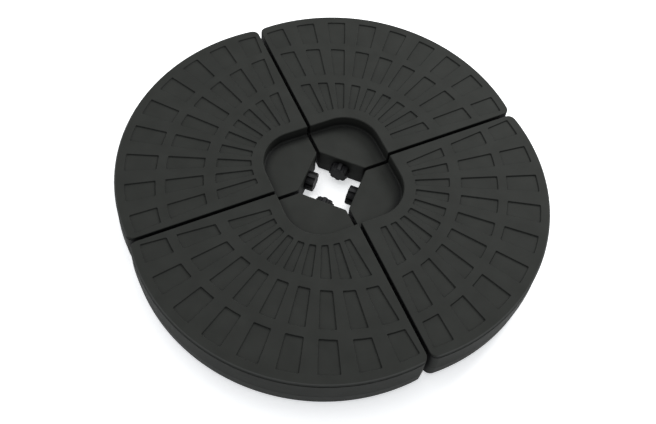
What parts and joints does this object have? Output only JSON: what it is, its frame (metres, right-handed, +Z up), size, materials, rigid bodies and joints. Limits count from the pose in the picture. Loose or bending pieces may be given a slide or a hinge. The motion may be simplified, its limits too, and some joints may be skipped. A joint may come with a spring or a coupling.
{
  "type": "parasol base",
  "caption": "Ring of fan-shaped hollow plastic ballast tanks with pocketed tops, a sunken square centre and a screw filler cap on each inner end.",
  "frame": {"origin": "on the ground at the centre of the ring", "axes": "+Z up; the tanks' centre lines and filler caps lie along +X, -X, +Y and -Y, and the gaps between the tanks on the diagonals"},
  "size_m": [0.96, 0.96, 0.1],
  "materials": {
    "tank_plastic": "charcoal blow moulded polyethylene with a fine cast grain",
    "cap_plastic": "dark grey injection moulded polypropylene, slightly smoother than the tanks",
    "seal_rubber": "soft black rubber"
  },
  "bodies": {
    "front_tank_body": {"front_tank": "tank_plastic"},
    "front_seal_body": {"front_seal": "seal_rubber"},
    "front_cap_body": {"front_cap": "cap_plastic"},
    "right_tank_body": {"right_tank": "tank_plastic"},
    "right_seal_body": {"right_seal": "seal_rubber"},
    "right_cap_body": {"right_cap": "cap_plastic"},
    "back_tank_body": {"back_tank": "tank_plastic"},
    "back_seal_body": {"back_seal": "seal_rubber"},
    "back_cap_body": {"back_cap": "cap_plastic"},
    "left_tank_body": {"left_tank": "tank_plastic"},
    "left_seal_body": {"left_seal": "seal_rubber"},
    "left_cap_body": {"left_cap": "cap_plastic"}
  },
  "joints": [
    {"name": "right_tank_slide", "type": "slide", "parent": "front_tank_body", "child": "right_tank_body", "axis": [1, 0, 0], "range_m": [0, 0.08]},
    {"name": "back_tank_slide", "type": "slide", "parent": "front_tank_body", "child": "back_tank_body", "axis": [0, 1, 0], "range_m": [0, 0.08]},
    {"name": "left_tank_slide", "type": "slide", "parent": "front_tank_body", "child": "left_tank_body", "axis": [-1, 0, 0], "range_m": [0, 0.08]},
    {"name": "front_cap_travel", "type": "slide", "parent": "front_tank_body", "child": "front_seal_body", "axis": [0, 1, 0], "range_m": [0, 0.008]},
    {"name": "front_cap_turn", "type": "hinge", "parent": "front_seal_body", "child": "front_cap_body", "pos_m": [0, -0.047, 0.036], "axis": [0, 1, 0], "range_deg": [0, 720]},
    {"name": "right_cap_travel", "type": "slide", "parent": "right_tank_body", "child": "right_seal_body", "axis": [-1, 0, 0], "range_m": [0, 0.008]},
    {"name": "right_cap_turn", "type": "hinge", "parent": "right_seal_body", "child": "right_cap_body", "pos_m": [0.047, 0, 0.036], "axis": [-1, 0, 0], "range_deg": [0, 720]},
    {"name": "back_cap_travel", "type": "slide", "parent": "back_tank_body", "child": "back_seal_body", "axis": [0, -1, 0], "range_m": [0, 0.008]},
    {"name": "back_cap_turn", "type": "hinge", "parent": "back_seal_body", "child": "back_cap_body", "pos_m": [0, 0.047, 0.036], "axis": [0, -1, 0], "range_deg": [0, 720]},
    {"name": "left_cap_travel", "type": "slide", "parent": "left_tank_body", "child": "left_seal_body", "axis": [1, 0, 0], "range_m": [0, 0.008]},
    {"name": "left_cap_turn", "type": "hinge", "parent": "left_seal_body", "child": "left_cap_body", "pos_m": [-0.047, 0, 0.036], "axis": [1, 0, 0], "range_deg": [0, 720]}
  ],
  "couplings": [
    {"joint": "front_cap_travel", "follows": "front_cap_turn", "m_per_rad": 0.0006366},
    {"joint": "right_cap_travel", "follows": "right_cap_turn", "m_per_rad": 0.0006366},
    {"joint": "back_cap_travel", "follows": "back_cap_turn", "m_per_rad": 0.0006366},
    {"joint": "left_cap_travel", "follows": "left_cap_turn", "m_per_rad": 0.0006366}
  ]
}
